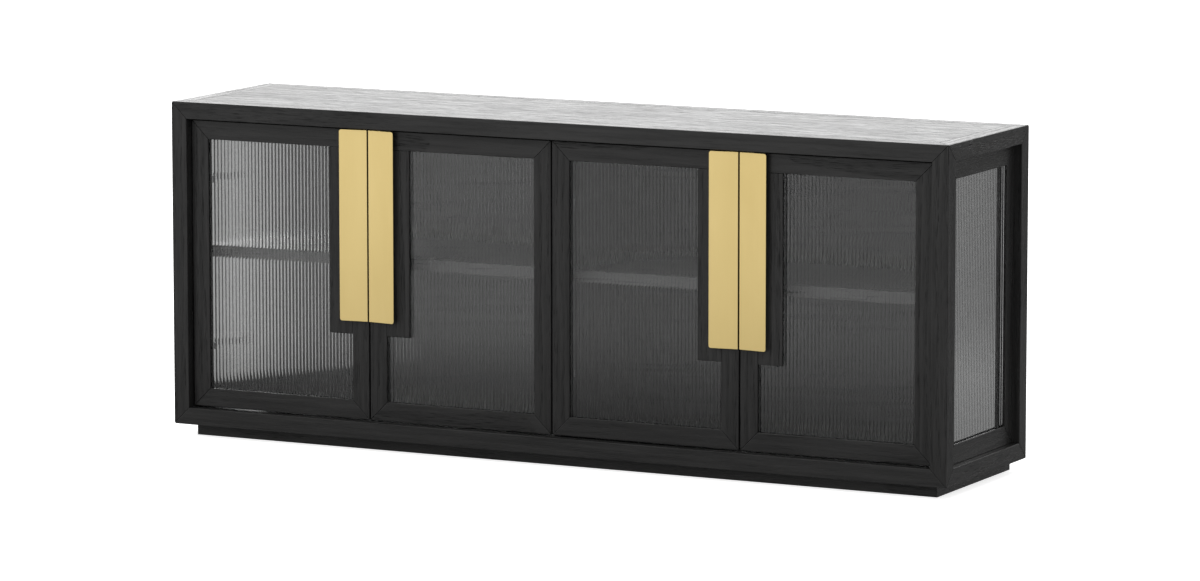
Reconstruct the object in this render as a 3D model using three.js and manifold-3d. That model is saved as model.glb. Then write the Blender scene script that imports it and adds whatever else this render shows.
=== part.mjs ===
// Four-door sideboard: a square-section oak frame with mitred corners on a recessed plinth,
// fluted glass in the doors and in both ends, and a tilted brass pull plate on each door.
// Millimetres. +X runs along the length, +Y to the back (the doors face -Y), +Z up.
// The origin is on the floor, under the middle of the carcass.
import * as THREE from "three";
import { mergeVertices } from "three/addons/utils/BufferGeometryUtils.js";
import Module from "manifold-3d";

const wasm = await Module();
wasm.setup();

// ---------------------------------------------------------------- driving dimensions
const LENGTH = 2000;
const DEPTH = 456;
const HEIGHT = 800;
const MEMBER = 40; // side of the square posts and rails
const MITRE_GAP = 0.2; // each mitred end is held back by this much, measured along its member

const PLINTH_HEIGHT = 30;
const PLINTH_BOARD = 20;

const TOP_BOARD = 20;
const BOTTOM_BOARD = 22;
const BACK_BOARD = 12;
const BACK_RECESS = 10; // back panel behind the rear face of the posts
const DIVIDER_BOARD = 20;
const DIVIDER_SETBACK = 54; // divider behind the front plane of the frame
const SHELF_BOARD = 28;
const SHELF_SETBACK = 62;
const SHELF_TOP = 455;
const FIT = 0.5; // play around a loose board

const SIDE_RECESS = 18; // glazed end frame behind the outer face of the posts
const SIDE_MEMBER = 45;

const DOOR_RECESS = 20; // door face behind the front plane of the frame
const DOOR_THICKNESS = 20;
const DOOR_GAP = 4;
const DOOR_MEMBER = 44;
const DOORS = 4;

const LIP = 6; // wood left in front of the glass
const REBATE = 6; // how far the glass reaches behind that lip
const GLASS = 5;
const GLASS_PLAY = 0.5;
const SEAT = 0.3; // clearance between seated pieces

const BACKING_WIDTH = 104.5; // from the meeting edge of the door to the free edge of the backing
const BACKING_BELOW_HANDLE = 32.5;

const HANDLE_HEIGHT = 450;
const HANDLE_WIDTH = 69.5;
const HANDLE_INNER_RISE = 6; // plate face above the door face, at the meeting edge
const HANDLE_OUTER_RISE = 14; // and at the free edge
const HANDLE_SHEET = 2.2;
const HANDLE_FOOT = 34; // width of the foot that is screwed to the door
const HANDLE_FOOT_SHEET = 1.5;
const HANDLE_CORNER = 5.5;

const HINGE_FROM_END = 142; // hinge centre from the top or bottom edge of the door
const AXIS_FROM_EDGE = 22; // hinge pin from the hinge edge of the door
const AXIS_FROM_FACE = 8.5; // hinge pin behind the door face
const PIN_RADIUS = 1.5;
const EYE_RADIUS = 2.9; // rolled end of the arm, round the pin
const EYE_BORE = 1.8;
const EYE_LAP = 0.5; // how far the strip of the arm runs into the eye
const ARM_SHEET = 2.4;
const ARM_HEIGHT = 16;
const ARM_SWEEP = 27; // the arm passes round the turning edge of the door at this radius
const ARM_BEND = 5;
const ARM_END = 78; // end of the arm behind the pin
const CUP_HALF_WIDTH = 14.7;
const CUP_STRAIGHT = 8; // half the straight part of the oblong cup
const CUP_WALL = 0.8;
const CUP_FLOOR = 4.8; // front of the cup behind the door face
const EAR_ROOT = 18.5; // from the hinge centre, up and down the door
const EAR_RIM = 21; // past the rim of the cup
const EAR_TIP = 32;
const EAR_HALF_WIDTH = 8;
const EAR_RISE = 1.4; // back of the ear behind the door
const NECK_HALF_WIDTH = 6; // the neck joins the ear to the cup wall
const NECK_DEPTH = 2;
const PLATE_START = 34; // wall plate, behind the pin
const PLATE_END = 50;
const PLATE_SHEET = 3.6;
const PLATE_HEIGHT = 48;
const BRACKET_SHEET = 2; // fold of the twin arms round the edge of the divider

const LAP = 1; // overlap that makes two solids one, or runs a cutter clear of a face
const ARC_STEPS = 5;
const PIN_SIDES = 12;

// ---------------------------------------------------------------- derived planes
const LEFT = -LENGTH / 2;
const RIGHT = LENGTH / 2;
const FRONT = -DEPTH / 2;
const BACK = DEPTH / 2;
const BASE = PLINTH_HEIGHT; // underside of the frame
const TOP = HEIGHT;
const OPENING_LEFT = LEFT + MEMBER;
const OPENING_RIGHT = RIGHT - MEMBER;
const OPENING_BOTTOM = BASE + MEMBER;
const OPENING_TOP = TOP - MEMBER;
const FLOOR = BASE + BOTTOM_BOARD; // inside floor
const BACK_PANEL_FACE = BACK - BACK_RECESS - BACK_BOARD;

const DOOR_FACE = FRONT + DOOR_RECESS;
const DOOR_BACK = DOOR_FACE + DOOR_THICKNESS;
const DOOR_BOTTOM = OPENING_BOTTOM + DOOR_GAP;
const DOOR_TOP = OPENING_TOP - DOOR_GAP;
const DOOR_HEIGHT = DOOR_TOP - DOOR_BOTTOM;
const DOOR_WIDTH = (OPENING_RIGHT - OPENING_LEFT - (DOORS + 1) * DOOR_GAP) / DOORS;
const HINGE_LEVELS = { upper: DOOR_TOP - HINGE_FROM_END, lower: DOOR_BOTTOM + HINGE_FROM_END };
const AXIS_Y = DOOR_FACE + AXIS_FROM_FACE;

// ---------------------------------------------------------------- materials
const finish = (color, roughness, metalness, extra = {}) => ({ color, roughness, metalness, ...extra });
const BLACK_OAK = finish(0x2b2b2a, 0.55, 0);
const INNER_BOARD = finish(0x242423, 0.7, 0);
const BRASS = finish(0xd2bc80, 0.32, 1);
const STEEL = finish(0x8d8f92, 0.35, 1);
const FLUTED_GLASS = finish(0x9aa09d, 0.15, 0, { transparent: true, opacity: 0.5 });

// ---------------------------------------------------------------- solids
const AXES = {
  x: new THREE.Matrix4().makeBasis(
    new THREE.Vector3(0, 1, 0), new THREE.Vector3(0, 0, 1), new THREE.Vector3(1, 0, 0)),
  y: new THREE.Matrix4().makeBasis(
    new THREE.Vector3(0, 0, 1), new THREE.Vector3(1, 0, 0), new THREE.Vector3(0, 1, 0)),
  z: new THREE.Matrix4(),
};

function solidOf(geometry) {
  const bare = geometry.clone();
  bare.deleteAttribute("normal");
  bare.deleteAttribute("uv");
  const merged = mergeVertices(bare, 1e-4);
  return new wasm.Manifold(new wasm.Mesh({
    numProp: 3,
    vertProperties: new Float32Array(merged.attributes.position.array),
    triVerts: new Uint32Array(merged.index.array),
  }));
}

function geometryOf(solid) {
  const mesh = solid.getMesh();
  const geometry = new THREE.BufferGeometry();
  geometry.setAttribute("position", new THREE.BufferAttribute(mesh.vertProperties, 3));
  geometry.setIndex(new THREE.BufferAttribute(mesh.triVerts, 1));
  const flat = geometry.toNonIndexed();
  flat.computeVertexNormals();
  return flat;
}

// A straight prism. The outline is [y, z] along x, [x, z] along y and [x, y] along z.
function prism(axis, outline, from, to, hole = null) {
  const order = axis === "y" ? ([a, b]) => new THREE.Vector2(b, a) : ([a, b]) => new THREE.Vector2(a, b);
  const shape = new THREE.Shape(outline.map(order));
  if (hole) {
    shape.holes.push(new THREE.Path(hole.map(order)));
  }
  const geometry = new THREE.ExtrudeGeometry(shape, { depth: to - from, bevelEnabled: false });
  geometry.translate(0, 0, from);
  geometry.applyMatrix4(AXES[axis]);
  return solidOf(geometry);
}

const rectangle = (a0, b0, a1, b1) => [[a0, b0], [a1, b0], [a1, b1], [a0, b1]];

function box(x0, y0, z0, x1, y1, z1) {
  return prism("z", rectangle(x0, y0, x1, y1), z0, z1);
}

function pinAlongZ(x, y, z0, z1, radius) {
  const geometry = new THREE.CylinderGeometry(radius, radius, z1 - z0, PIN_SIDES);
  geometry.rotateX(Math.PI / 2);
  geometry.translate(x, y, (z0 + z1) / 2);
  return solidOf(geometry);
}

const model = new THREE.Group();

function add(name, solid, look) {
  const mesh = new THREE.Mesh(geometryOf(solid), new THREE.MeshStandardMaterial(look));
  mesh.name = name;
  model.add(mesh);
}

// ---------------------------------------------------------------- outer frame
// Each member ends in a three-way mitre: one 45 degree cut in each of the two faces that meet a
// neighbour. A member is the overlap of its outlines in two views.
function mitredOutline(a0, a1, outer, inner, cutStart = true, cutEnd = true) {
  const reach = Math.abs(inner - outer);
  const start = a0 + (cutStart ? MITRE_GAP : 0);
  const end = a1 - (cutEnd ? MITRE_GAP : 0);
  return [
    [start, outer],
    [end, outer],
    [end - (cutEnd ? reach : 0), inner],
    [start + (cutStart ? reach : 0), inner],
  ];
}

const swap = (outline) => outline.map(([a, b]) => [b, a]);

function addPosts() {
  for (const [side, outerX, innerX] of [["left", LEFT, OPENING_LEFT], ["right", RIGHT, OPENING_RIGHT]]) {
    for (const [end, outerY, innerY] of [["front", FRONT, FRONT + MEMBER], ["back", BACK, BACK - MEMBER]]) {
      // There is no lower back rail, so the foot of a back post is cut on its outer side only.
      const footCut = end === "front";
      const face = swap(mitredOutline(BASE, TOP, outerX, innerX, footCut, true));
      const flank = swap(mitredOutline(BASE, TOP, outerY, innerY));
      const across = prism("y", face, Math.min(outerY, innerY), Math.max(outerY, innerY));
      const along = prism("x", flank, Math.min(outerX, innerX), Math.max(outerX, innerX));
      add(`post_${end}_${side}`, across.intersect(along), BLACK_OAK);
    }
  }
}

function addLongRail(name, outerY, innerY, outerZ, innerZ) {
  const [y0, y1] = [Math.min(outerY, innerY), Math.max(outerY, innerY)];
  const [z0, z1] = [Math.min(outerZ, innerZ), Math.max(outerZ, innerZ)];
  const face = prism("y", mitredOutline(LEFT, RIGHT, outerZ, innerZ), y0, y1);
  const plan = prism("z", mitredOutline(LEFT, RIGHT, outerY, innerY), z0, z1);
  add(name, face.intersect(plan), BLACK_OAK);
}

function addSideRail(name, outerX, innerX, outerZ, innerZ, backRail) {
  const [x0, x1] = [Math.min(outerX, innerX), Math.max(outerX, innerX)];
  const [z0, z1] = [Math.min(outerZ, innerZ), Math.max(outerZ, innerZ)];
  const flank = prism("x", mitredOutline(FRONT, BACK, outerZ, innerZ), x0, x1);
  const plan = prism("z", swap(mitredOutline(FRONT, BACK, outerX, innerX, true, backRail)), z0, z1);
  add(name, flank.intersect(plan), BLACK_OAK);
}

function addRails() {
  addLongRail("rail_top_front", FRONT, FRONT + MEMBER, TOP, OPENING_TOP);
  addLongRail("rail_top_back", BACK, BACK - MEMBER, TOP, OPENING_TOP);
  addLongRail("rail_bottom_front", FRONT, FRONT + MEMBER, BASE, OPENING_BOTTOM);
  for (const [side, outerX, innerX] of [["left", LEFT, OPENING_LEFT], ["right", RIGHT, OPENING_RIGHT]]) {
    addSideRail(`rail_top_${side}`, outerX, innerX, TOP, OPENING_TOP, true);
    addSideRail(`rail_bottom_${side}`, outerX, innerX, BASE, OPENING_BOTTOM, false);
  }
}

// ---------------------------------------------------------------- boards inside the frame
function addBoards() {
  add("plinth", prism("z",
    rectangle(OPENING_LEFT, FRONT + MEMBER, OPENING_RIGHT, BACK), 0, BASE,
    rectangle(OPENING_LEFT + PLINTH_BOARD, FRONT + MEMBER + PLINTH_BOARD,
      OPENING_RIGHT - PLINTH_BOARD, BACK - PLINTH_BOARD)), BLACK_OAK);
  add("top_panel",
    box(OPENING_LEFT, FRONT + MEMBER, TOP - TOP_BOARD, OPENING_RIGHT, BACK - MEMBER, TOP), BLACK_OAK);
  add("bottom_panel",
    box(OPENING_LEFT, FRONT + MEMBER, BASE, OPENING_RIGHT, BACK, FLOOR), INNER_BOARD);
  add("back_panel",
    box(OPENING_LEFT, BACK_PANEL_FACE, FLOOR, OPENING_RIGHT, BACK - BACK_RECESS, OPENING_TOP), INNER_BOARD);
  add("center_divider",
    box(-DIVIDER_BOARD / 2, FRONT + DIVIDER_SETBACK, FLOOR,
      DIVIDER_BOARD / 2, BACK_PANEL_FACE, OPENING_TOP), INNER_BOARD);
  for (const [side, wall, middle] of [
    ["left", OPENING_LEFT, -DIVIDER_BOARD / 2],
    ["right", OPENING_RIGHT, DIVIDER_BOARD / 2],
  ]) {
    const [x0, x1] = [Math.min(wall, middle), Math.max(wall, middle)];
    add(`shelf_${side}`,
      box(x0 + FIT, FRONT + SHELF_SETBACK, SHELF_TOP - SHELF_BOARD,
        x1 - FIT, BACK_PANEL_FACE - FIT, SHELF_TOP), INNER_BOARD);
  }
}

// ---------------------------------------------------------------- glazed ends
function addEnds() {
  const [y0, y1] = [FRONT + MEMBER, BACK - MEMBER];
  const [z0, z1] = [OPENING_BOTTOM, OPENING_TOP];
  const inset = (d) => rectangle(y0 + d, z0 + d, y1 - d, z1 - d);
  const seat = SIDE_MEMBER - REBATE;
  for (const [side, sign] of [["left", -1], ["right", 1]]) {
    const face = sign * (RIGHT - SIDE_RECESS);
    const span = (a, b) => [face - sign * a, face - sign * b].sort((p, q) => p - q);
    const depth = MEMBER - SIDE_RECESS;
    const lip = prism("x", inset(0), ...span(0, LIP), inset(SIDE_MEMBER));
    const body = prism("x", inset(0), ...span(LIP - LAP, depth), inset(seat));
    add(`side_frame_${side}`, lip.add(body), BLACK_OAK);
    add(`side_glass_${side}`,
      prism("x", inset(seat + GLASS_PLAY), ...span(LIP + SEAT, LIP + SEAT + GLASS)), FLUTED_GLASS);
  }
}

// ---------------------------------------------------------------- doors
// u runs from the hinge edge of a door to its meeting edge, w from its face to the back.
function doorFrame(number) {
  const start = OPENING_LEFT + DOOR_GAP + (number - 1) * (DOOR_WIDTH + DOOR_GAP);
  const hingeOnLeft = number % 2 === 1;
  const hingeEdge = hingeOnLeft ? start : start + DOOR_WIDTH;
  const sign = hingeOnLeft ? 1 : -1;
  return {
    x: (u) => hingeEdge + sign * u,
    outline: (points) => points.map(([u, z]) => [hingeEdge + sign * u, DOOR_BOTTOM + z]),
  };
}

// Members are drawn twice: the full-width lip in front, and the body behind it that stops at the rebate.
function doorMember(frame, outlineAt) {
  const lip = prism("y", frame.outline(outlineAt(DOOR_MEMBER)), DOOR_FACE, DOOR_FACE + LIP);
  const body = prism("y", frame.outline(outlineAt(DOOR_MEMBER - REBATE)), DOOR_FACE + LIP - LAP, DOOR_BACK);
  return lip.add(body);
}

function oblong(x, z, halfWidth, straight) {
  const path = new THREE.Path();
  path.absarc(x, z + straight, halfWidth, 0, Math.PI, false);
  path.absarc(x, z - straight, halfWidth, Math.PI, 2 * Math.PI, false);
  return path.getPoints(ARC_STEPS).slice(0, -1).map((p) => [p.x, p.y]);
}

function hingeStile(frame) {
  const [h, g] = [DOOR_HEIGHT, MITRE_GAP];
  let stile = doorMember(frame, (m) => [[0, g], [m, m + g], [m, h - m - g], [0, h - g]]);
  for (const level of Object.values(HINGE_LEVELS)) {
    const pocket = oblong(frame.x(AXIS_FROM_EDGE), level, CUP_HALF_WIDTH + SEAT, CUP_STRAIGHT);
    stile = stile.subtract(prism("y", pocket, DOOR_FACE + CUP_FLOOR - SEAT, DOOR_BACK + LAP));
  }
  return stile;
}

// The stile at the meeting edge carries the wider board behind the handle. That board is only as
// thick as the lip, so the glass runs behind it.
function meetingStile(frame) {
  const [w, h, g] = [DOOR_WIDTH, DOOR_HEIGHT, MITRE_GAP];
  const head = h - DOOR_MEMBER - SEAT;
  const stile = doorMember(frame, (m) => [[w, g], [w - m, m + g], [w - m, head], [w, head]]);
  const foot = h - HANDLE_HEIGHT - BACKING_BELOW_HANDLE;
  const backing = rectangle(w - BACKING_WIDTH, foot, w - DOOR_MEMBER + LAP, head);
  return stile.add(prism("y", frame.outline(backing), DOOR_FACE, DOOR_FACE + LIP));
}

// Mitred at the hinge edge; at the meeting edge it runs across the head of the stile.
function topRail(frame) {
  const [w, h, g] = [DOOR_WIDTH, DOOR_HEIGHT, MITRE_GAP];
  return doorMember(frame, (m) => {
    const overStile = [[w, h - DOOR_MEMBER], [w - m, h - DOOR_MEMBER]];
    const rebateStep = m < DOOR_MEMBER ? [[w - m, h - m]] : [];
    return [[g, h], [w, h], ...overStile, ...rebateStep, [m + g, h - m]];
  });
}

function bottomRail(frame) {
  const [w, g] = [DOOR_WIDTH, MITRE_GAP];
  return doorMember(frame, (m) => [[g, 0], [w - g, 0], [w - m - g, m], [m + g, m]]);
}

function pane(frame) {
  const edge = DOOR_MEMBER - REBATE + GLASS_PLAY;
  const outline = frame.outline(rectangle(edge, edge, DOOR_WIDTH - edge, DOOR_HEIGHT - edge));
  return prism("y", outline, DOOR_FACE + LIP + SEAT, DOOR_FACE + LIP + SEAT + GLASS);
}

// One folded strip of brass: a foot screwed to the door, a fold along the meeting edge and a plate
// that leans away from the door, so that fingers reach behind its free edge.
function handle(frame) {
  const [t, wide] = [HANDLE_SHEET, HANDLE_WIDTH];
  const slope = (HANDLE_OUTER_RISE - HANDLE_INNER_RISE) / wide;
  const footTop = SEAT + HANDLE_FOOT_SHEET;
  const section = [
    [0, SEAT], [HANDLE_FOOT, SEAT], [HANDLE_FOOT, footTop], [t, footTop],
    [t, HANDLE_INNER_RISE - t + slope * t], [wide, HANDLE_OUTER_RISE - t], [wide, HANDLE_OUTER_RISE],
    [0, HANDLE_INNER_RISE],
  ].map(([across, rise]) => [frame.x(DOOR_WIDTH - across), DOOR_FACE - rise]);
  const folded = prism("z", section, DOOR_TOP - HANDLE_HEIGHT, DOOR_TOP);

  const [edge, free] = [DOOR_WIDTH, DOOR_WIDTH - wide];
  const [z0, z1, r] = [DOOR_TOP - HANDLE_HEIGHT, DOOR_TOP, HANDLE_CORNER];
  const centre = free + r;
  const arc = (z, from) => Array.from({ length: ARC_STEPS + 1 }, (_, i) => {
    const angle = from + (i / ARC_STEPS) * (Math.PI / 2);
    return [frame.x(centre + r * Math.cos(angle)), z + r * Math.sin(angle)];
  });
  const front = [
    [frame.x(edge), z0], [frame.x(edge), z1],
    ...arc(z1 - r, Math.PI / 2),
    ...arc(z0 + r, Math.PI),
  ];
  return folded.intersect(prism("y", front, DOOR_FACE - HANDLE_OUTER_RISE - LAP, DOOR_FACE));
}

// An oblong cup let into the back of the stile, with a screw ear above and below, and the pin that
// the arm turns on.
function hingeCup(frame, level) {
  const x = frame.x(AXIS_FROM_EDGE);
  const floor = DOOR_FACE + CUP_FLOOR;
  const shell = prism("y", oblong(x, level, CUP_HALF_WIDTH, CUP_STRAIGHT), floor, DOOR_BACK);
  const inside = prism("y",
    oblong(x, level, CUP_HALF_WIDTH - CUP_WALL, CUP_STRAIGHT), floor + CUP_WALL, DOOR_BACK + LAP);
  const pinHalf = CUP_STRAIGHT + CUP_HALF_WIDTH - CUP_WALL / 2;
  let cup = shell.subtract(inside).add(pinAlongZ(x, AXIS_Y, level - pinHalf, level + pinHalf, PIN_RADIUS));
  const back = DOOR_BACK + EAR_RISE;
  for (const way of [-1, 1]) {
    const span = (end) => [level + way * EAR_ROOT, level + way * end].sort((a, b) => a - b);
    const [neckLow, neckHigh] = span(EAR_RIM);
    const [earLow, earHigh] = span(EAR_TIP);
    const neck = [x - NECK_HALF_WIDTH, DOOR_BACK - NECK_DEPTH, neckLow, x + NECK_HALF_WIDTH, back, neckHigh];
    const ear = [x - EAR_HALF_WIDTH, DOOR_BACK + SEAT, earLow, x + EAR_HALF_WIDTH, back, earHigh];
    cup = cup.add(box(...neck)).add(box(...ear));
  }
  return cup;
}

function addDoor(number) {
  const frame = doorFrame(number);
  const name = (piece) => `door_${number}_${piece}`;
  add(name("hinge_stile"), hingeStile(frame), BLACK_OAK);
  add(name("meeting_stile"), meetingStile(frame), BLACK_OAK);
  add(name("top_rail"), topRail(frame), BLACK_OAK);
  add(name("bottom_rail"), bottomRail(frame), BLACK_OAK);
  add(name("glass"), pane(frame), FLUTED_GLASS);
  add(name("handle"), handle(frame), BRASS);
  for (const [place, level] of Object.entries(HINGE_LEVELS)) {
    add(name(`hinge_cup_${place}`), hingeCup(frame, level), STEEL);
  }
}

// ---------------------------------------------------------------- hinge arms
// Seen from above: the arm leaves the pin at 45 degrees, passes round the turning edge of the door
// on an arc, and bends back along the wall. "wall" is how far the wall face is from the pin.
function armOutline(wall) {
  const half = ARM_SHEET / 2;
  const [inner, outer] = [ARM_SWEEP - half, ARM_SWEEP + half];
  const diagonal = (r, side) => {
    const along = Math.sqrt(r * r - half * half);
    return [(along - side * half) * Math.SQRT1_2, (along + side * half) * Math.SQRT1_2];
  };
  const angleOf = ([x, y]) => Math.atan2(y, x);
  const bendX = -wall + SEAT + ARM_BEND + half;
  const bendY = ARM_SWEEP + ARM_BEND;
  const path = new THREE.Path();
  path.moveTo(...diagonal(EYE_RADIUS - EYE_LAP, -1));
  path.absarc(0, 0, outer, angleOf(diagonal(outer, -1)), Math.PI / 2, false);
  path.absarc(bendX, bendY, ARM_BEND - half, -Math.PI / 2, -Math.PI, true);
  path.lineTo(bendX - ARM_BEND + half, ARM_END);
  path.lineTo(bendX - ARM_BEND - half, ARM_END);
  path.absarc(bendX, bendY, ARM_BEND + half, Math.PI, 1.5 * Math.PI, false);
  path.absarc(0, 0, inner, Math.PI / 2, angleOf(diagonal(inner, 1)), true);
  path.lineTo(...diagonal(EYE_RADIUS - EYE_LAP, 1));
  return path.getPoints(ARC_STEPS).map((p) => [p.x, p.y]);
}

function hingeArm(frame, level, wall) {
  const axisX = frame.x(AXIS_FROM_EDGE);
  const sign = Math.sign(frame.x(1) - frame.x(0));
  const place = ([x, y]) => [axisX + sign * x, AXIS_Y + y];
  const [z0, z1] = [level - ARM_HEIGHT / 2, level + ARM_HEIGHT / 2];
  const strip = prism("z", armOutline(wall).map(place), z0, z1);
  const plate = rectangle(SEAT - wall, PLATE_START, SEAT - wall + PLATE_SHEET, PLATE_END).map(place);
  return strip
    .add(pinAlongZ(axisX, AXIS_Y, z0, z1, EYE_RADIUS))
    .add(prism("z", plate, level - PLATE_HEIGHT / 2, level + PLATE_HEIGHT / 2))
    .subtract(pinAlongZ(axisX, AXIS_Y, z0 - LAP, z1 + LAP, EYE_BORE));
}

// The two middle doors share one bracket that is folded round the front edge of the divider.
function centerArms(level) {
  const frames = [doorFrame(2), doorFrame(3)];
  const half = DIVIDER_BOARD / 2;
  const wall = frames[1].x(AXIS_FROM_EDGE) - half;
  const [z0, z1] = [level - ARM_HEIGHT / 2, level + ARM_HEIGHT / 2];
  const edge = FRONT + DIVIDER_SETBACK;
  const reach = half + SEAT + ARM_SHEET;
  let bracket = box(-reach, edge - SEAT - BRACKET_SHEET, z0, reach, edge - SEAT, z1);
  for (const sign of [-1, 1]) {
    const [near, far] = [sign * (half + SEAT), sign * reach].sort((a, b) => a - b);
    bracket = bracket.add(box(near, edge - SEAT - LAP, z0, far, AXIS_Y + ARM_END, z1));
  }
  for (const frame of frames) {
    bracket = bracket.add(hingeArm(frame, level, wall));
  }
  return bracket;
}

function addHingeArms() {
  for (const [place, level] of Object.entries(HINGE_LEVELS)) {
    for (const number of [1, DOORS]) {
      const wall = AXIS_FROM_EDGE + DOOR_GAP;
      add(`hinge_arm_${number}_${place}`, hingeArm(doorFrame(number), level, wall), STEEL);
    }
    add(`center_hinge_arms_${place}`, centerArms(level), STEEL);
  }
}

addPosts();
addRails();
addBoards();
addEnds();
for (let number = 1; number <= DOORS; number += 1) {
  addDoor(number);
}
addHingeArms();

export default model;
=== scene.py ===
"""The looks of the sideboard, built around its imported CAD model.

Metres, in the part's own frame: +X along the length, +Y to the back, +Z up, the floor at z = 0.
Doors are numbered 1 to 4 from left to right. Doors 1 and 3 hinge on their left edge."""
import math
import random

import bmesh
import bpy
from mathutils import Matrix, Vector


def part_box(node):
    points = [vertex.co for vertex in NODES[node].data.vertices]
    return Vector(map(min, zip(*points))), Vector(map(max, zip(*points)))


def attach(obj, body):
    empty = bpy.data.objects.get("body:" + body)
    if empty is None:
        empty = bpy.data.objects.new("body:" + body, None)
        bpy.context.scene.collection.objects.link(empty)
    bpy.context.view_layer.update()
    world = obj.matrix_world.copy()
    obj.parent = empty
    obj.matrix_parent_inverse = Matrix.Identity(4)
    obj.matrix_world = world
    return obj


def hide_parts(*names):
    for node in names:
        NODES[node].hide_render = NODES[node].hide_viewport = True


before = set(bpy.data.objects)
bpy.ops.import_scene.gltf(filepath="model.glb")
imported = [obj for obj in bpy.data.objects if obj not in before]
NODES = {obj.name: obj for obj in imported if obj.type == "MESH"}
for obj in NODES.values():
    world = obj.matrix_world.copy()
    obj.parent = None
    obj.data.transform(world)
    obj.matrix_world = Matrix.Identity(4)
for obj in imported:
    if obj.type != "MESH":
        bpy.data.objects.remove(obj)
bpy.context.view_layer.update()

DOORS = (1, 2, 3, 4)
MM = 0.001
X, Y, Z = range(3)

# ---------------------------------------------------------------- sizes that only the looks need
EASED_EDGE = 1.2 * MM  # rounding on the edges of the oak
STEEL_EDGE = 0.35 * MM  # rounding on the pressed steel
BRASS_EDGE = 0.5 * MM
SEAM = 0.15 * MM  # each side of a glued joint is held back by this much
SEAT = 0.3 * MM  # clearance between seated pieces
PLINTH_BOARD = 20 * MM
WELD = 1e-6  # points this close, in metres, are one
FLAT = 0.02  # faces that turn by less than this, in radians, are one
LOG_SIZE = 9  # how far apart, in metres, two boards may be cut

# Reeded panes and the beads that hold them
REED_PITCH = 9 * MM
REED_HEIGHT = 2.15 * MM
REED_STEPS = 10  # flats across one reed
REED_FULLNESS = 0.92  # the reed's section is an arc of an ellipse; 1 would be the whole half of it
GLASS_PLAY = 0.5 * MM
BEAD_WIDTH = 6 * MM
BEAD_EDGE = 0.3 * MM
BEAD_FLAT = 0.35  # the share of the bead's width and depth that is flat, beside its round
BEAD_STEPS = 4  # flats along the bead's round

# Shelf pins
PIN_INSET = 11 * MM  # front shelf pins behind the front edge of the shelf
PIN_BACK_INSET = 45 * MM  # back shelf pins in front of its back edge
PIN_REACH = 10 * MM
PIN_EDGE = 0.6 * MM
PIN_TONGUE_HALF = 5 * MM  # half the width of the tongue under the shelf
PIN_TONGUE_THICKNESS = 1.6 * MM
PIN_DROP = 4.4 * MM  # the pin's axis below the shelf
PIN_COLLAR = (4 * MM, 1.4 * MM)  # radius and thickness
PIN_SHANK = (2.5 * MM, 7 * MM)  # radius and length

# Glue blocks in the plinth
BLOCK = 36 * MM  # short sides of a glue block
BLOCK_HEIGHT = 24 * MM
BLOCK_SCREW_AT = 0.3  # share of the short sides

# Magnetic catches
CATCH_SIZE = (62 * MM, 13 * MM, 37 * MM)
CATCH_EDGE = 1.2 * MM
EAR_LENGTH = 9 * MM  # the screwed ears at both ends of a catch
EAR_SET_BACK = 2 * MM
EAR_THICKNESS = 2.4 * MM
EAR_EDGE = 1.0 * MM
MAGNET_RADIUS = 5.5 * MM
MAGNET_THICKNESS = 0.9 * MM
MAGNET_SUNK = 0.6 * MM  # how much of its thickness is inside the catch
STRIKE_RADIUS = 7.5 * MM
STRIKE_THICKNESS = 0.9 * MM
STRIKE_LIFT = 2 * MM  # the lowest point of a strike plate above the foot of the catch

# Screws, and where they sit
SCREW_DOME = ((1.0, 0.0), (0.99, 0.16), (0.88, 0.34), (0.70, 0.46))  # radius and height, per head radius
SCREW_CROSS = (0.46, 0.11)  # length and half width of an arm of the recess, per head radius
SCREW_CROSS_FOOT = (0.6, 0.14)  # taper of the recess and the height of its foot, per head radius
QUARTER_TURNS = ((1, 0), (0, 1), (-1, 0), (0, -1))  # cosine and sine
HINGE_SCREW = 3.0 * MM  # radius of the head, as in the four below
HANDLE_SCREW = 3.8 * MM
BLOCK_SCREW = 3.8 * MM
BACK_SCREW = 3.6 * MM
CATCH_SCREW = 2.6 * MM
CUP_SCREW_FROM_TIP = 5.5 * MM  # from the tip of the cup's flange
PLATE_THICKNESS = 3.6 * MM  # wall plate of a hinge arm
PLATE_FROM_ARM_END = 36 * MM
PLATE_SCREW_FROM_MIDDLE = 16 * MM
HANDLE_SCREW_INSET = 17 * MM
HANDLE_SCREW_FROM_END = 45 * MM
BACK_SCREWS = 5
BACK_SCREW_INSET = 30 * MM

# ---------------------------------------------------------------- camera and studio
CAMERA_PLACE = (6.2778, -12.3199, 2.3330)
CAMERA_TURN = (81.975, 0.018, 26.929)  # degrees
CAMERA_LENS = 179.87  # millimetres, as the sensor's width
CAMERA_SENSOR = 36
CAMERA_REACH = 200

# Each gradient is the start and end of a stretch, then the levels there. The floor's stretches are in
# metres, and the room's are on one part of the direction to a spot on its wall, from -1 to 1.
ROOM_BACK = (-0.4, 0.7, 1.38, 2.12)  # the room is brightest towards the back
ROOM_RIGHT = (-0.2, 0.6, 1.0, 0.42)  # and darker to the right
FLOOR_BACK = (-2.4, 0.0, 0.62, 0.34)  # the floor's grey along Y, from well in front to the sideboard
FLOOR_PAINTED_SHADE = (0.5, 2.2, 0.42, 1.0)  # painted shade: its dimming near the object, with the distance from the origin, stands in for the object's contact shadow
FLOOR_RIGHT = (1.0, 2.0, 1.0, 0.55)  # its dimming along X
FLOOR_LIGHT = 1.3  # brightness of a floor of grey 1, as the object sees it
FLOOR_WHITE = 0.8
FLOOR_GLOW = 0.75
FLOOR_RADIUS = 70


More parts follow.
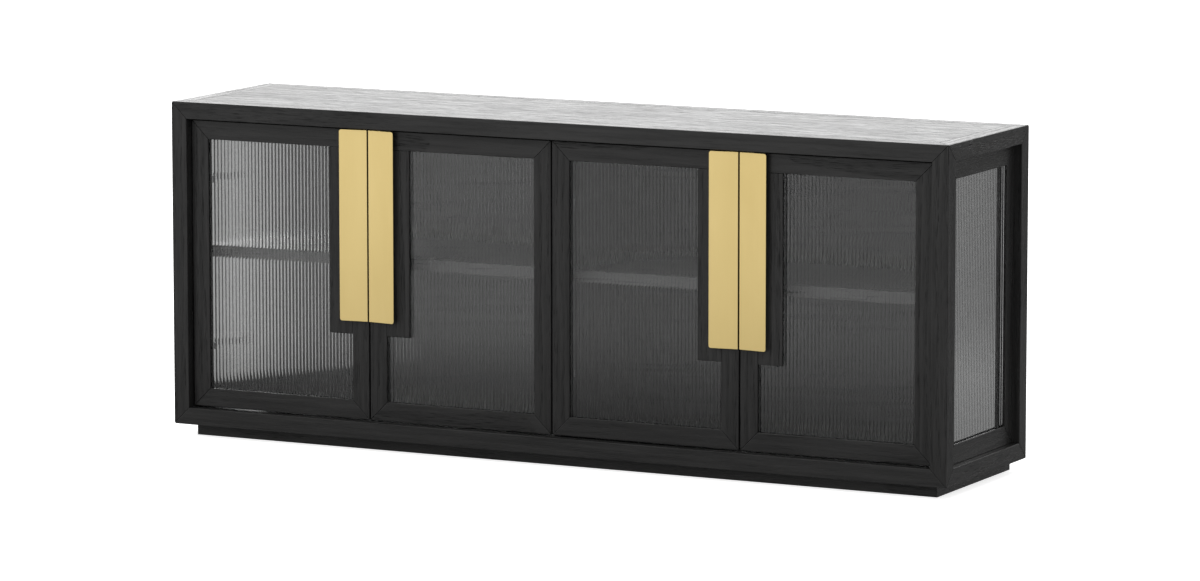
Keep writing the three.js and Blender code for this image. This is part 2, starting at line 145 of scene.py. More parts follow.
def add_camera():
    data = bpy.data.cameras.new("camera")
    data.lens = CAMERA_LENS
    data.sensor_width = CAMERA_SENSOR
    data.clip_end = CAMERA_REACH
    camera = bpy.data.objects.new("camera", data)
    camera.location = CAMERA_PLACE
    camera.rotation_euler = [math.radians(a) for a in CAMERA_TURN]
    bpy.context.scene.collection.objects.link(camera)
    bpy.context.scene.camera = camera


class Tree:
    """A short way to write a node tree: add() makes a node and sets its inputs by value or by link."""

    def __init__(self, tree):
        self.tree = tree
        tree.nodes.clear()

    def add(self, kind, inputs=None, **settings):
        node = self.tree.nodes.new("ShaderNode" + kind)
        for key, value in settings.items():
            setattr(node, key, value)
        for key, value in (inputs or {}).items():
            if isinstance(value, bpy.types.NodeSocket):
                self.tree.links.new(value, node.inputs[key])
            else:
                node.inputs[key].default_value = value
        return node

    def math(self, operation, a, b=0.0, clamp=False):
        node = self.add("Math", {0: a, 1: b}, operation=operation, use_clamp=clamp)
        return node.outputs[0]

    def remap(self, value, low, high, to_low=0.0, to_high=1.0):
        inputs = {"Value": value, "From Min": low, "From Max": high, "To Min": to_low, "To Max": to_high}
        return self.add("MapRange", inputs).outputs["Result"]

    def blend(self, factor, a, b):
        """Mixes two colours. A Mix node has the same socket names for every type, so these go by number."""
        node = self.add("Mix", data_type="RGBA")
        for socket, value in ((node.inputs[0], factor), (node.inputs[6], a), (node.inputs[7], b)):
            if isinstance(value, bpy.types.NodeSocket):
                self.tree.links.new(value, socket)
            else:
                socket.default_value = value
        return node.outputs[2]


def add_world():
    """A soft white room: brightest towards the back, darker to the right."""
    world = bpy.data.worlds.new("studio")
    bpy.context.scene.world = world
    world.use_nodes = True
    t = Tree(world.node_tree)
    direction = t.add("TexCoord").outputs["Generated"]
    split = t.add("SeparateXYZ", {0: direction})
    back = t.remap(split.outputs["Y"], *ROOM_BACK)
    right = t.remap(split.outputs["X"], *ROOM_RIGHT)
    strength = t.math("MULTIPLY", back, right)
    background = t.add("Background", {"Color": (1, 1, 1, 1), "Strength": strength})
    t.add("OutputWorld", {"Surface": background.outputs[0]})


def add_floor():
    """A white studio floor. It looks white, and lights and mirrors in the object as a pale grey, with
    painted shade near the object.
    """
    bm = bmesh.new()
    bmesh.ops.create_circle(bm, cap_ends=True, segments=64, radius=FLOOR_RADIUS)
    mesh = bpy.data.meshes.new("floor")
    bm.to_mesh(mesh)
    bm.free()
    material = bpy.data.materials.new("pale_floor")
    material.use_nodes = True
    t = Tree(material.node_tree)
    where = t.add("TexCoord").outputs["Object"]
    place = t.add("SeparateXYZ", {0: where})
    distance = t.add("VectorMath", {0: where}, operation="LENGTH").outputs["Value"]
    shade = t.remap(place.outputs["Y"], *FLOOR_BACK)
    # Painted shade: the light that the floor gives off is dimmed near the object, as if in its contact
    # shadow.
    shade = t.math("MULTIPLY", shade, t.remap(distance, *FLOOR_PAINTED_SHADE))
    shade = t.math("MULTIPLY", shade, t.remap(place.outputs["X"], *FLOOR_RIGHT))
    strength = t.math("MULTIPLY", shade, FLOOR_LIGHT)
    grey = t.add("Emission", {"Color": (1, 1, 1, 1), "Strength": strength})
    white = t.add("BsdfDiffuse", {"Color": (FLOOR_WHITE, FLOOR_WHITE, FLOOR_WHITE, 1)})
    glow = t.add("Emission", {"Color": (1, 1, 1, 1), "Strength": FLOOR_GLOW})
    lit = t.add("AddShader", {0: white.outputs[0], 1: glow.outputs[0]})
    seen = t.add("LightPath").outputs["Is Camera Ray"]
    surface = t.add("MixShader", {0: seen, 1: grey.outputs[0], 2: lit.outputs[0]})
    t.add("OutputMaterial", {"Surface": surface.outputs[0]})
    # Rays find so large a floor by themselves. Sampling it as a lamp would only add noise.
    material.cycles.emission_sampling = "NONE"
    mesh.materials.append(material)
    floor = bpy.data.objects.new("floor", mesh)
    bpy.context.scene.collection.objects.link(floor)


# ---------------------------------------------------------------- materials
RING_SHARE = 0.45  # how much of the wood's tone comes from its year rings
STREAK_SHARE = 0.55  # and how much from the streaks along its grain
STAIN_RANGE = (0.22, 0.82)  # where the tones lie between the dark and the light stain
PORE_TINT = 0.3  # the stain in an open pore, against the dark stain
PORE_DULL = 0.3  # the roughness that an open pore adds
STREAK_RELIEF = 0.4  # height of the streaks, against the depth of the pores


def new_material(name):
    material = bpy.data.materials.new(name)
    material.use_nodes = True
    return material, Tree(material.node_tree)


def wood(name, dark, light, roughness, ior, relief, pore_depth):
    """Stained open-grain oak. The point attribute "grain" holds the place in the board, in metres:
    along the grain, across it and through it. pore_depth, from 0 to 1, says how open the pores are.
    dark and light are the stain's two colours, and relief the depth of the grain."""
    material, t = new_material(name)
    where = t.add("Attribute", attribute_name="grain").outputs["Vector"]

    def stretched(along, across):
        """The grain coordinates with so many units of noise to the metre along and across the board."""
        return t.add("Mapping", {"Vector": where, "Scale": (along, across, across)}).outputs[0]

    # The year rings, their long streaks, the slow change of tone over a board, and the pores.
    figure = t.add("TexWave", {
        "Vector": stretched(0.22, 1.0), "Scale": 16.0, "Distortion": 9.0, "Detail": 2.0,
        "Detail Scale": 0.35, "Detail Roughness": 0.55,
    }, wave_type="BANDS", bands_direction="Y", wave_profile="SAW").outputs["Fac"]
    streaks = t.add("TexNoise", {
        "Vector": stretched(5.0, 110.0), "Scale": 1.0, "Detail": 4.0, "Roughness": 0.6,
    }).outputs["Fac"]
    tone = t.add("TexNoise", {
        "Vector": stretched(0.8, 6.0), "Scale": 1.0, "Detail": 2.0,
    }).outputs["Fac"]
    pores = t.add("TexNoise", {
        "Vector": stretched(26.0, 620.0), "Scale": 1.0, "Detail": 2.0, "Roughness": 0.55,
    }).outputs["Fac"]
    pore_mask = t.remap(pores, 0.54, 0.64)
    # Pores crowd into the early wood, the dark half of each ring.
    crowded = t.math("MULTIPLY", pore_mask, t.remap(figure, 0.15, 0.85, 0.25, 1.0))
    rings = t.remap(figure, 0.0, 1.0, 0.75, 0.25)
    rings_part = t.math("MULTIPLY", rings, RING_SHARE)
    streaks_part = t.math("MULTIPLY", t.remap(streaks, 0.36, 0.64), STREAK_SHARE)
    mix = t.math("ADD", rings_part, streaks_part)
    mix = t.math("MULTIPLY", mix, t.remap(tone, 0.3, 0.7, 0.8, 1.15), clamp=True)
    open_pores = t.math("MULTIPLY", crowded, pore_depth)
    stain = t.blend(t.remap(mix, 0.0, 1.0, *STAIN_RANGE), dark, light)
    pore_stain = [c * PORE_TINT for c in dark[:3]] + [1]
    stain = t.blend(open_pores, stain, pore_stain)
    height = t.math("SUBTRACT", t.math("MULTIPLY", streaks, STREAK_RELIEF), crowded)
    bump = t.add("Bump", {"Height": height, "Strength": 0.8, "Distance": relief})
    dull = t.remap(mix, 0.0, 1.0, roughness + 0.12, roughness - 0.06)
    surface = t.add("BsdfPrincipled", {
        "Base Color": stain,
        "Roughness": t.math("ADD", dull, t.math("MULTIPLY", open_pores, PORE_DULL)),
        "IOR": ior,
        "Normal": bump.outputs[0],
    })
    t.add("OutputMaterial", {"Surface": surface.outputs[0]})
    return material


def brass():
    """Satin brass with fine vertical brush lines."""
    material, t = new_material("brushed_brass")
    where = t.add("TexCoord").outputs["Object"]

    def noise(scale, detail):
        spread = t.add("Mapping", {"Vector": where, "Scale": scale}).outputs[0]
        return t.add("TexNoise", {"Vector": spread, "Scale": 1.0, "Detail": detail}).outputs["Fac"]

    lines = noise((2600.0, 2600.0, 14.0), 3.0)
    cloud = noise((9.0, 9.0, 4.0), 2.0)
    tone = t.math("ADD", t.math("MULTIPLY", lines, 0.35), t.math("MULTIPLY", cloud, 0.65))
    colour = t.blend(t.remap(tone, 0.35, 0.65), (0.755, 0.582, 0.247, 1), (0.815, 0.637, 0.283, 1))
    bump = t.add("Bump", {"Height": lines, "Strength": 0.12, "Distance": 0.03 * MM})
    surface = t.add("BsdfPrincipled", {
        "Base Color": colour,
        "Metallic": 1.0,
        "Roughness": t.remap(lines, 0.3, 0.7, 0.30, 0.42),
        "Normal": bump.outputs[0],
    })
    t.add("OutputMaterial", {"Surface": surface.outputs[0]})
    return material


def steel(name, colour, roughness):
    """Dark steel, faintly mottled."""
    material, t = new_material(name)
    where = t.add("TexCoord").outputs["Object"]
    mottle = t.add("TexNoise", {"Vector": where, "Scale": 240.0, "Detail": 3.0}).outputs["Fac"]
    surface = t.add("BsdfPrincipled", {
        "Base Color": t.blend(mottle, [c * 0.85 for c in colour] + [1], list(colour) + [1]),
        "Metallic": 1.0,
        "Roughness": t.remap(mottle, 0.3, 0.7, roughness - 0.05, roughness + 0.1),
    })
    t.add("OutputMaterial", {"Surface": surface.outputs[0]})
    return material


def reeded_glass():
    """Clear glass, slightly grey. Shadow rays pass straight through, so that the inside is lit."""
    material, t = new_material("reeded_glass")
    where = t.add("TexCoord").outputs["Object"]
    cloud = t.add("TexNoise", {"Vector": where, "Scale": 22.0, "Detail": 2.0}).outputs["Fac"]
    glass = t.add("BsdfPrincipled", {
        "Base Color": t.blend(cloud, (0.865, 0.87, 0.868, 1), (0.925, 0.93, 0.928, 1)),
        "Roughness": 0.0,
        "IOR": 1.5,
        "Transmission Weight": 1.0,
    })
    clear = t.add("BsdfTransparent", {"Color": (0.79, 0.795, 0.793, 1)})
    path = t.add("LightPath")
    shadow = path.outputs["Is Shadow Ray"]
    surface = t.add("MixShader", {0: shadow, 1: glass.outputs[0], 2: clear.outputs[0]})
    t.add("OutputMaterial", {"Surface": surface.outputs[0]})
    return material


def plain_plastic(name, colour, roughness):
    """Moulded plastic with a faint texture."""
    material, t = new_material(name)
    where = t.add("TexCoord").outputs["Object"]
    grit = t.add("TexNoise", {"Vector": where, "Scale": 900.0, "Detail": 2.0}).outputs["Fac"]
    bump = t.add("Bump", {"Height": grit, "Strength": 0.2, "Distance": 0.05 * MM})
    surface = t.add("BsdfPrincipled", {
        "Base Color": t.blend(grit, [c * 0.85 for c in colour] + [1], list(colour) + [1]),
        "Roughness": roughness,
        "Normal": bump.outputs[0],
    })
    t.add("OutputMaterial", {"Surface": surface.outputs[0]})
    return material


OAK = wood(
    "black_oak", (0.003, 0.003, 0.003, 1), (0.046, 0.0455, 0.045, 1),
    roughness=0.24, ior=1.3, relief=0.28 * MM, pore_depth=0.9,
)
BOARD = wood(
    "inner_board", (0.034, 0.0338, 0.0336, 1), (0.044, 0.0437, 0.0434, 1),
    roughness=0.27, ior=1.7, relief=0.06 * MM, pore_depth=0.2,
)
# The beads take a darker, duller copy of the oak: the darker stain is painted shade along the glass's edge,
# and the higher roughness is real.
SHADED_BEAD = wood(
    "bead_oak_painted_shade", (0.004, 0.004, 0.004, 1), (0.016, 0.0158, 0.0156, 1),
    roughness=0.55, ior=1.3, relief=0.1 * MM, pore_depth=0.5,
)
BRASS = brass()
STEEL = steel("hinge_steel", (0.16, 0.162, 0.165), 0.34)
SCREW = steel("black_screw", (0.2, 0.2, 0.204), 0.38)
GLASS = reeded_glass()
CATCH = plain_plastic("catch_body", (0.03, 0.03, 0.03), 0.5)


# ---------------------------------------------------------------- mesh work
def add_piece(name, bm, material, body, replaced=()):
    mesh = bpy.data.meshes.new(name)
    bm.normal_update()
    bm.to_mesh(mesh)
    bm.free()
    mesh.materials.append(material)
    piece = bpy.data.objects.new(name, mesh)
    bpy.context.scene.collection.objects.link(piece)
    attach(piece, body)
    if replaced:
        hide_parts(*replaced)
    return piece


def copy_of(node):
    """The CAD node's solid with its flat faces whole again."""
    bm = bmesh.new()
    bm.from_mesh(NODES[node].data)
    bmesh.ops.remove_doubles(bm, verts=bm.verts, dist=WELD)
    bmesh.ops.dissolve_limit(bm, angle_limit=FLAT, verts=bm.verts, edges=bm.edges)
    return bm


def cut(bm, planes):
    """Keeps what lies behind every plane, given as (point, outward normal), and closes the cuts."""
    for point, normal in planes:
        geometry = bm.verts[:] + bm.edges[:] + bm.faces[:]
        bmesh.ops.bisect_plane(bm, geom=geometry, plane_co=point, plane_no=normal, clear_outer=True)
        open_edges = [e for e in bm.edges if e.is_boundary]
        bmesh.ops.holes_fill(bm, edges=open_edges, sides=0)
    return bm


def ease(bm, width, sharper_than=0.6, segments=2):
    """Rounds every edge that turns by more than sharper_than radians."""
    edges = [e for e in bm.edges if len(e.link_faces) == 2 and e.calc_face_angle() > sharper_than]
    bmesh.ops.bevel(bm, geom=edges, offset=width, segments=segments, profile=0.5, affect="EDGES",
                    clamp_overlap=True)
    return bm


board_count = 0


def set_grain(piece, along):
    """Stores each point's place in its board. Every board is cut from a different part of the log."""
    global board_count
    board_count += 1
    draw = random.Random(board_count)
    shift = [draw.uniform(0, LOG_SIZE) for _ in range(3)]
    order = {"x": (0, 1, 2), "y": (1, 0, 2), "z": (2, 0, 1)}[along]
    attribute = piece.data.attributes.new("grain", "FLOAT_VECTOR", "POINT")
    places = []
    for vertex in piece.data.vertices:
        places += [vertex.co[axis] + start for axis, start in zip(order, shift)]
    attribute.data.foreach_set("vector", places)


def add_board(name, bm, along, body, replaced=(), material=OAK, width=EASED_EDGE):
    piece = add_piece(name, ease(bm, width), material, body, replaced)
    set_grain(piece, along)
    return piece


def facing(centre, axis):
    """The matrix that stands a shape made along +Z on centre, pointing along axis."""
    turn = Vector(axis).to_track_quat("Z", "Y").to_matrix().to_4x4()
    turn.translation = Vector(centre)
    return turn


def add_turned(bm, centre, axis, profile, segments=24):
    """A closed turned shape. profile lists (radius, height) from the foot to the crown."""
    place = facing(centre, axis)
    angles = [2 * math.pi * i / segments for i in range(segments)]
    rings = []
    for radius, height in profile:
        points = [Vector((radius * math.cos(a), radius * math.sin(a), height)) for a in angles]
        rings.append([bm.verts.new(place @ point) for point in points])
    for low, high in zip(rings, rings[1:]):
        for i in range(segments):
            j = (i + 1) % segments
            bm.faces.new((low[i], low[j], high[j], high[i]))
    bm.faces.new(reversed(rings[0]))
    return rings[-1]


def add_disc(bm, centre, axis, radius, thickness, round_off=0.25 * MM):
    """A short cylinder with an eased rim."""
    inside = 0.3 * round_off  # how far the middle of the rounding lies inside the corner
    profile = [
        (radius, 0),
        (radius, thickness - round_off),
        (radius - inside, thickness - inside),
        (radius - round_off, thickness),
    ]
    bm.faces.new(add_turned(bm, centre, axis, profile))


def add_screw(bm, centre, axis, radius):
    """A low-domed screw head with a cross recess, its underside at centre."""
    profile = [(radius * r, radius * h) for r, h in SCREW_DOME]
    crown = add_turned(bm, centre, axis, profile)
    place = facing(centre, axis)
    arm, half = (radius * share for share in SCREW_CROSS)
    quarter = [(arm, -half), (arm, half), (half, half)]
    outline = []
    for cosine, sine in QUARTER_TURNS:
        outline += [(x * cosine - y * sine, x * sine + y * cosine) for x, y in quarter]
    crown_height = profile[-1][1]
    taper, foot_height = SCREW_CROSS_FOOT
    top = [bm.verts.new(place @ Vector((x, y, crown_height))) for x, y in outline]
    foot = [bm.verts.new(place @ Vector((taper * x, taper * y, foot_height * radius))) for x, y in outline]
    walls = []
    for i in range(len(top)):
        j = (i + 1) % len(top)
        walls.append(bm.faces.new((top[j], top[i], foot[i], foot[j])))
    bm.faces.new(foot)
    rim = [bm.edges.get((crown[i], crown[(i + 1) % len(crown)])) for i in range(len(crown))]
    rim += [bm.edges.get((top[i], top[(i + 1) % len(top)])) for i in range(len(top))]
    bmesh.ops.triangle_fill(bm, use_beauty=True, use_dissolve=False, edges=rim)


def add_block(bm, low, high, width):
    """A box between two corners with rounded edges, made apart and then joined to bm."""
    part = bmesh.new()
    size = Vector(high) - Vector(low)
    bmesh.ops.create_cube(part, size=1)
    for vertex in part.verts:
        vertex.co = [low[i] + (vertex.co[i] + 0.5) * size[i] for i in range(3)]
    ease(part, width)
    mesh = bpy.data.meshes.new("part")
    part.to_mesh(mesh)
    part.free()
    bm.from_mesh(mesh)
    bpy.data.meshes.remove(mesh)


def add_screws(name, places, axes, radius, body):
    """One piece that holds a group of like screws."""
    bm = bmesh.new()
    for centre, axis in zip(places, axes):
        add_screw(bm, centre, axis, radius)
    bmesh.ops.recalc_face_normals(bm, faces=bm.faces)
    add_piece(name, bm, SCREW, body)


# ---------------------------------------------------------------- carcass
def add_frame():
    for end in ("front", "back"):
        for side in ("left", "right"):
            node = f"post_{end}_{side}"
            add_board(f"{node}_oak", copy_of(node), "z", "carcass", [node])
    for node in ("rail_top_front", "rail_top_back", "rail_bottom_front"):
        add_board(f"{node}_oak", copy_of(node), "x", "carcass", [node])
    for level in ("top", "bottom"):
        for side in ("left", "right"):
            node = f"rail_{level}_{side}"
            add_board(f"{node}_oak", copy_of(node), "y", "carcass", [node])


def add_panels():
    add_board("top_panel_oak", copy_of("top_panel"), "x", "carcass", ["top_panel"])
    for node in ("bottom_panel", "back_panel", "center_divider", "shelf_left", "shelf_right"):
        along = "z" if node == "center_divider" else "x"
        add_board(f"{node}_veneered", copy_of(node), along, "carcass", [node], BOARD)


def ring_members(node, axes):
    """Splits a four-sided ring into its mitred members. axes are the ring's two directions. Yields the
    axis that a member stands off the middle on, whether it is the far one, and its solid."""
    lo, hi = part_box(node)
    a, b = axes
    middle = (Vector(lo) + Vector(hi)) / 2
    for direction, other in ((a, b), (b, a)):
        for far in (False, True):
            bm = copy_of(node)
            sign = 1 if far else -1
            planes = []
            for other_sign in (-1, 1):
                corner = middle.copy()
                corner[direction] = hi[direction] if far else lo[direction]
                corner[other] = hi[other] if other_sign > 0 else lo[other]
                normal = Vector((0, 0, 0))
                normal[direction] = -sign
                normal[other] = other_sign
                normal.normalize()
                planes.append((corner - normal * SEAM, normal))
            half = Vector((0, 0, 0))
            half[direction] = -sign
            planes.append((middle, half))
            yield direction, far, cut(bm, planes)


def add_plinth():
    names = {(Y, False): "front", (Y, True): "back", (X, False): "left", (X, True): "right"}
    replaced = ["plinth"]
    for direction, far, bm in ring_members("plinth", (X, Y)):
        along = "x" if direction == Y else "y"
        add_board(f"plinth_board_{names[direction, far]}", bm, along, "carcass", replaced)
        replaced = []


def add_ends():
    names = {
        (Y, False): "front_stile",
        (Y, True): "back_stile",
        (Z, False): "bottom_rail",
        (Z, True): "top_rail",
    }
    for side in ("left", "right"):
        replaced = [f"side_frame_{side}"]
        for direction, far, bm in ring_members(f"side_frame_{side}", (Y, Z)):
            along = "z" if direction == Y else "y"
            add_board(f"end_{side}_{names[direction, far]}", bm, along, "carcass", replaced)
            replaced = []


def add_bead(name, ends, inward, depth_way, depth, along, body):
    """One mitred quarter-round bead. ends are the outer corners at the glass; inward points from the
    rebate wall to the middle of the pane, and depth_way from the glass to the inside of the cabinet."""
    start, stop = (Vector(end) for end in ends)
    run = (stop - start).normalized()
    arc = []
    for i in range(BEAD_STEPS + 1):
        angle = math.pi / 2 * i / BEAD_STEPS
        wide = BEAD_FLAT + (1 - BEAD_FLAT) * math.cos(angle)
        deep = BEAD_FLAT + (1 - BEAD_FLAT) * math.sin(angle)
        arc.append((BEAD_WIDTH * wide, depth * deep))
    profile = [(0.0, 0.0), (BEAD_WIDTH, 0.0)] + arc + [(0.0, depth)]
    bm = bmesh.new()
    sides = []
    for end, way in ((start, 1), (stop, -1)):
        mitre = [end + inward * u + run * way * (u + SEAM) + depth_way * v for u, v in profile]
        sides.append([bm.verts.new(point) for point in mitre])
    count = len(profile)
    for i in range(count):
        j = (i + 1) % count
        bm.faces.new((sides[0][i], sides[0][j], sides[1][j], sides[1][i]))
    bm.faces.new(sides[0])
    bm.faces.new(sides[1])
    bmesh.ops.recalc_face_normals(bm, faces=bm.faces)
    add_board(name, bm, along, body, material=SHADED_BEAD, width=BEAD_EDGE)


def add_beads(pane, along, across, inside, inner_face, body):
    """The four beads that hold a pane. inside is the sign of the way to the inside of the cabinet along
    the across axis, and inner_face the inner face of the frame."""
    lo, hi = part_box(pane)
    glass = (hi if inside > 0 else lo)[across] + inside * SEAT
    depth = abs(inner_face - glass) - SEAT
    depth_way = Vector((0, 0, 0))
    depth_way[across] = inside

    def corner(a, z):
        place = [0.0, 0.0, z]
        place[along] = a
        place[across] = glass
        return Vector(place)

    a0, a1 = lo[along] - GLASS_PLAY, hi[along] + GLASS_PLAY
    z0, z1 = lo[Z] - GLASS_PLAY, hi[Z] + GLASS_PLAY
    right = Vector((0, 0, 0))
    right[along] = 1
    up = Vector((0, 0, 1))
    letter = "xy"[along]
    add_bead(f"{pane}_bead_bottom", (corner(a0, z0), corner(a1, z0)), up, depth_way, depth, letter, body)
    add_bead(f"{pane}_bead_top", (corner(a0, z1), corner(a1, z1)), -up, depth_way, depth, letter, body)
    add_bead(f"{pane}_bead_left", (corner(a0, z0), corner(a0, z1)), right, depth_way, depth, "z", body)
    add_bead(f"{pane}_bead_right", (corner(a1, z0), corner(a1, z1)), -right, depth_way, depth, "z", body)


def add_shelf_pins():
    """Four pins under each shelf: a collar against the wall and a flat tongue that the shelf rests on."""
    for side in ("left", "right"):
        lo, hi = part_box(f"shelf_{side}")
        bm = bmesh.new()
        for wall, way in ((lo[X], 1), (hi[X], -1)):
            for y in (lo[Y] + PIN_INSET, hi[Y] - PIN_BACK_INSET):
                z = lo[Z] - SEAT
                ends = sorted((wall, wall + way * PIN_REACH))
                low = (ends[0], y - PIN_TONGUE_HALF, z - PIN_TONGUE_THICKNESS)
                high = (ends[1], y + PIN_TONGUE_HALF, z)
                add_block(bm, low, high, PIN_EDGE)
                add_disc(bm, (wall, y, z - PIN_DROP), (way, 0, 0), *PIN_COLLAR)
                add_disc(bm, (wall, y, z - PIN_DROP), (way, 0, 0), *PIN_SHANK)
        bmesh.ops.recalc_face_normals(bm, faces=bm.faces)
        add_piece(f"shelf_pins_{side}", bm, STEEL, "carcass")


def add_glue_blocks():
    """Three-cornered blocks in the plinth's corners, under the bottom panel, with their screws."""
    lo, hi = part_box("plinth")
    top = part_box("bottom_panel")[0][Z] - SEAM
    wall = PLINTH_BOARD + SEAM
    places = []
    for x, x_way in ((lo[X] + wall, 1), (hi[X] - wall, -1)):
        for y, y_way in ((lo[Y] + wall, 1), (hi[Y] - wall, -1)):
            bm = bmesh.new()
            outline = [(x, y), (x + x_way * BLOCK, y), (x, y + y_way * BLOCK)]
            foot = [bm.verts.new((a, b, top - BLOCK_HEIGHT)) for a, b in outline]
            head = [bm.verts.new((a, b, top)) for a, b in outline]
            bm.faces.new(foot)
            bm.faces.new(head)
            for i in range(3):
                j = (i + 1) % 3
                bm.faces.new((foot[i], foot[j], head[j], head[i]))
            bmesh.ops.recalc_face_normals(bm, faces=bm.faces)
            place = f"{'left' if x_way > 0 else 'right'}_{'front' if y_way > 0 else 'back'}"
            add_board(f"glue_block_{place}", bm, "z", "carcass")
            aside = BLOCK * BLOCK_SCREW_AT
            places.append((x + x_way * aside, y + y_way * aside, top - BLOCK_HEIGHT))
    add_screws("glue_block_screws", places, [(0, 0, -1)] * len(places), BLOCK_SCREW, "carcass")


def add_back_screws():
    """Screws through the back panel into the edge of the centre divider."""
    lo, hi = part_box("back_panel")
    divider_lo, divider_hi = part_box("center_divider")
    middle = (divider_lo[X] + divider_hi[X]) / 2
    start = lo[Z] + BACK_SCREW_INSET
    span = hi[Z] - lo[Z] - 2 * BACK_SCREW_INSET
    places = [(middle, hi[Y], start + span * i / (BACK_SCREWS - 1)) for i in range(BACK_SCREWS)]
    add_screws("back_panel_screws", places, [(0, 1, 0)] * BACK_SCREWS, BACK_SCREW, "carcass")


def add_catch(left, right):
    """A double magnetic catch behind the meeting stiles of two doors, hung from the top panel."""
    width, depth, height = CATCH_SIZE
    left_lo, left_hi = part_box(f"door_{left}_top_rail")
    right_lo, right_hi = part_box(f"door_{right}_top_rail")
    seam = (left_hi[X] + right_lo[X]) / 2
    door_back = left_hi[Y]
    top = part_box("top_panel")[0][Z] - SEAT
    front = door_back + STRIKE_THICKNESS + SEAT
    back = front + depth
    ear_end = width / 2 + EAR_LENGTH
    bm = bmesh.new()
    add_block(bm, (seam - width / 2, front, top - height), (seam + width / 2, back, top), CATCH_EDGE)
    low = (seam - ear_end, front + EAR_SET_BACK, top - EAR_THICKNESS)
    add_block(bm, low, (seam + ear_end, back, top), EAR_EDGE)
    bmesh.ops.recalc_face_normals(bm, faces=bm.faces)
    add_piece(f"catch_{left}_{right}_body", bm, CATCH, "carcass")
    magnets = bmesh.new()
    z = top - height + STRIKE_RADIUS + STRIKE_LIFT
    for x in (seam - width / 4, seam + width / 4):
        add_disc(magnets, (x, front + MAGNET_SUNK, z), (0, -1, 0), MAGNET_RADIUS, MAGNET_THICKNESS)
    bmesh.ops.recalc_face_normals(magnets, faces=magnets.faces)
    add_piece(f"catch_{left}_{right}_magnets", magnets, STEEL, "carcass")
    aside = width / 2 + EAR_LENGTH / 2
    y = front + (EAR_SET_BACK + depth) / 2
    screws = [(seam + way * aside, y, top - EAR_THICKNESS) for way in (-1, 1)]
    add_screws(f"catch_{left}_{right}_screws", screws, [(0, 0, -1)] * 2, CATCH_SCREW, "carcass")
    for door, x in ((left, seam - width / 4), (right, seam + width / 4)):
        plate = bmesh.new()
        add_disc(plate, (x, door_back, z), (0, 1, 0), STRIKE_RADIUS, STRIKE_THICKNESS)
        add_piece(f"door_{door}_strike_plate", plate, STEEL, f"door_{door}")


# ---------------------------------------------------------------- doors
def meeting_side(door):
    """+1 where the meeting edge is on the right of the door, -1 where it is on the left."""
    return 1 if door % 2 == 1 else -1


def add_door_wood(door):
    body = f"door_{door}"
    side = meeting_side(door)
    for piece, along in (("hinge_stile", "z"), ("top_rail", "x"), ("bottom_rail", "x")):
        node = f"{body}_{piece}"
        add_board(f"{node}_oak", copy_of(node), along, body, [node])
    node = f"{body}_meeting_stile"
    hinge_lo, hinge_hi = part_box(f"{body}_hinge_stile")
    lo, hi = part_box(node)
    member = hinge_hi[X] - hinge_lo[X]
    seam = hi[X] - member if side > 0 else lo[X] + member
    away = Vector((-side, 0, 0))
    stile = cut(copy_of(node), [(Vector((seam, 0, 0)) - away * SEAM, away)])
    backing = cut(copy_of(node), [(Vector((seam, 0, 0)) + away * SEAM, -away)])
    add_board(f"{node}_oak", stile, "z", body, [node])
    add_board(f"{body}_handle_backing_oak", backing, "z", body)


def add_handle(door):
    body = f"door_{door}"
    node = f"{body}_handle"
    bm = ease(copy_of(node), BRASS_EDGE, segments=3)
    add_piece(f"{node}_brass", bm, BRASS, body, [node])


def add_hinges(door):
    """The cups on the door with their screws. The arms are on the carcass."""
    body = f"door_{door}"
    places = []
    for level in ("upper", "lower"):
        node = f"{body}_hinge_cup_{level}"
        add_piece(f"{node}_pressed", ease(copy_of(node), STEEL_EDGE), STEEL, body, [node])
        lo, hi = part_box(node)
        for z in (lo[Z] + CUP_SCREW_FROM_TIP, hi[Z] - CUP_SCREW_FROM_TIP):
            places.append(((lo[X] + hi[X]) / 2, hi[Y], z))
    add_screws(f"{body}_hinge_screws", places, [(0, 1, 0)] * len(places), HINGE_SCREW, body)


def add_hinge_arms():
    """The arms, which are folded strips welded to their wall plates, and the screws through the plates."""
    places = []
    axes = []
    divider_lo, divider_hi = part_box("center_divider")
    for level in ("upper", "lower"):
        for arm in ("hinge_arm_1", "hinge_arm_4", "center_hinge_arms"):
            node = f"{arm}_{level}"
            bm = ease(copy_of(node), STEEL_EDGE)
            add_piece(f"{node}_pressed", bm, STEEL, "carcass", [node])
            lo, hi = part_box(node)
            if arm == "hinge_arm_1":
                walls = [(lo[X] + PLATE_THICKNESS, 1)]
            elif arm == "hinge_arm_4":
                walls = [(hi[X] - PLATE_THICKNESS, -1)]
            else:
                reach = SEAT + PLATE_THICKNESS
                walls = [(divider_lo[X] - reach, -1), (divider_hi[X] + reach, 1)]
            middle = (lo[Z] + hi[Z]) / 2
            for x, way in walls:
                for z_way in (-1, 1):
                    z = middle + z_way * PLATE_SCREW_FROM_MIDDLE
                    places.append((x, hi[Y] - PLATE_FROM_ARM_END, z))
                    axes.append((way, 0, 0))
    add_screws("hinge_plate_screws", places, axes, HINGE_SCREW, "carcass")


def add_handle_screws(door):
    body = f"door_{door}"
    lo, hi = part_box(f"{body}_handle")
    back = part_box(f"{body}_hinge_stile")[1][Y]
    side = meeting_side(door)
    x = (hi[X] if side > 0 else lo[X]) - side * HANDLE_SCREW_INSET
    # The top screw stays clear of the strike plate.
    highest = hi[Z] - HANDLE_SCREW_FROM_END - STRIKE_RADIUS
    levels = (lo[Z] + HANDLE_SCREW_FROM_END, (lo[Z] + hi[Z]) / 2, highest)
    places = [(x, back, z) for z in levels]
    add_screws(f"{body}_handle_screws", places, [(0, 1, 0)] * len(places), HANDLE_SCREW, body)


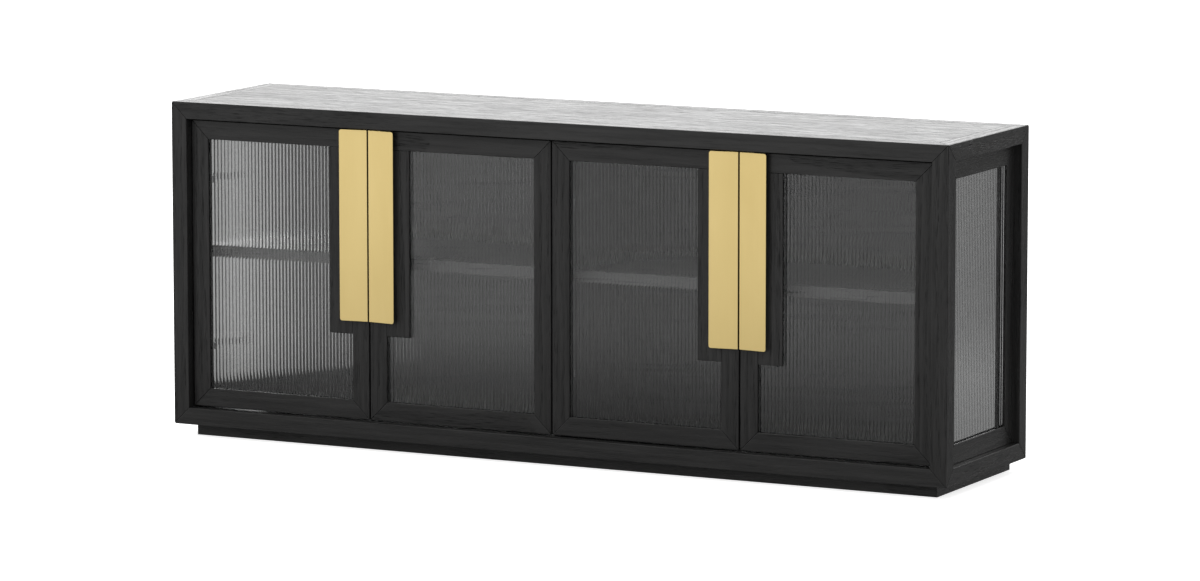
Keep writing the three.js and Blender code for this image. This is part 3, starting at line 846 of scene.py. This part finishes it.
def reeded_pane(node, along, across, outward):
    """A pane with upright convex reeds on its outer face. along is the axis that the reeds are
    spaced on, across the axis of the pane's thickness, and outward the sign of the outer face."""
    lo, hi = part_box(node)
    width = hi[along] - lo[along]
    reeds = round(width / REED_PITCH)
    outer, inner = (hi[across], lo[across]) if outward > 0 else (lo[across], hi[across])
    bm = bmesh.new()

    def point(s, depth, z):
        co = [0.0, 0.0, z]
        co[along] = lo[along] + s
        co[across] = depth
        return bm.verts.new(co)

    profile = []
    deepest = 1 - math.sqrt(1 - REED_FULLNESS)
    for i in range(reeds * REED_STEPS + 1):
        phase = (i % REED_STEPS) / REED_STEPS * 2 - 1
        hollow = REED_HEIGHT * (1 - math.sqrt(1 - REED_FULLNESS * phase * phase)) / deepest
        profile.append((width * i / (reeds * REED_STEPS), outer - outward * hollow))
    front = [[point(s, d, z) for s, d in profile] for z in (lo[Z], hi[Z])]
    back = [[point(s, inner, z) for s in (0.0, width)] for z in (lo[Z], hi[Z])]
    for i in range(len(profile) - 1):
        face = bm.faces.new((front[0][i], front[0][i + 1], front[1][i + 1], front[1][i]))
        face.smooth = True
    bm.faces.new((back[0][0], back[1][0], back[1][1], back[0][1]))
    bm.faces.new((front[0][0], front[1][0], back[1][0], back[0][0]))
    bm.faces.new((front[0][-1], back[0][1], back[1][1], front[1][-1]))
    for level in (0, 1):
        bm.faces.new([back[level][0], *front[level], back[level][1]])
    bmesh.ops.recalc_face_normals(bm, faces=bm.faces)
    # The reeds meet in sharp valleys, and the pane's own edges are sharp.
    for i in range(0, len(profile), REED_STEPS):
        edge = bm.edges.get((front[0][i], front[1][i]))
        edge.smooth = False
    for edge in bm.edges:
        if any(not f.smooth for f in edge.link_faces):
            edge.smooth = False
    return bm


def add_glass():
    for door in DOORS:
        node = f"door_{door}_glass"
        pane = reeded_pane(node, X, Y, -1)
        add_piece(f"{node}_reeded", pane, GLASS, f"door_{door}", [node])
    for side, outward in (("left", -1), ("right", 1)):
        node = f"side_glass_{side}"
        pane = reeded_pane(node, Y, X, outward)
        add_piece(f"{node}_reeded", pane, GLASS, "carcass", [node])


def add_all_beads():
    for door in DOORS:
        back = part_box(f"door_{door}_hinge_stile")[1][Y]
        add_beads(f"door_{door}_glass", X, Y, 1, back, f"door_{door}")
    for side, inside in (("left", 1), ("right", -1)):
        lo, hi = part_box(f"side_frame_{side}")
        inner = hi[X] if inside > 0 else lo[X]
        add_beads(f"side_glass_{side}", Y, X, inside, inner, "carcass")


add_camera()
add_world()
add_floor()
bpy.context.scene.view_settings.view_transform = "Standard"
add_frame()
add_panels()
add_plinth()
add_ends()
for number in DOORS:
    add_door_wood(number)
    add_handle(number)
    add_handle_screws(number)
    add_hinges(number)
add_glass()
add_all_beads()
add_hinge_arms()
add_shelf_pins()
add_glue_blocks()
add_back_screws()
add_catch(1, 2)
add_catch(3, 4)
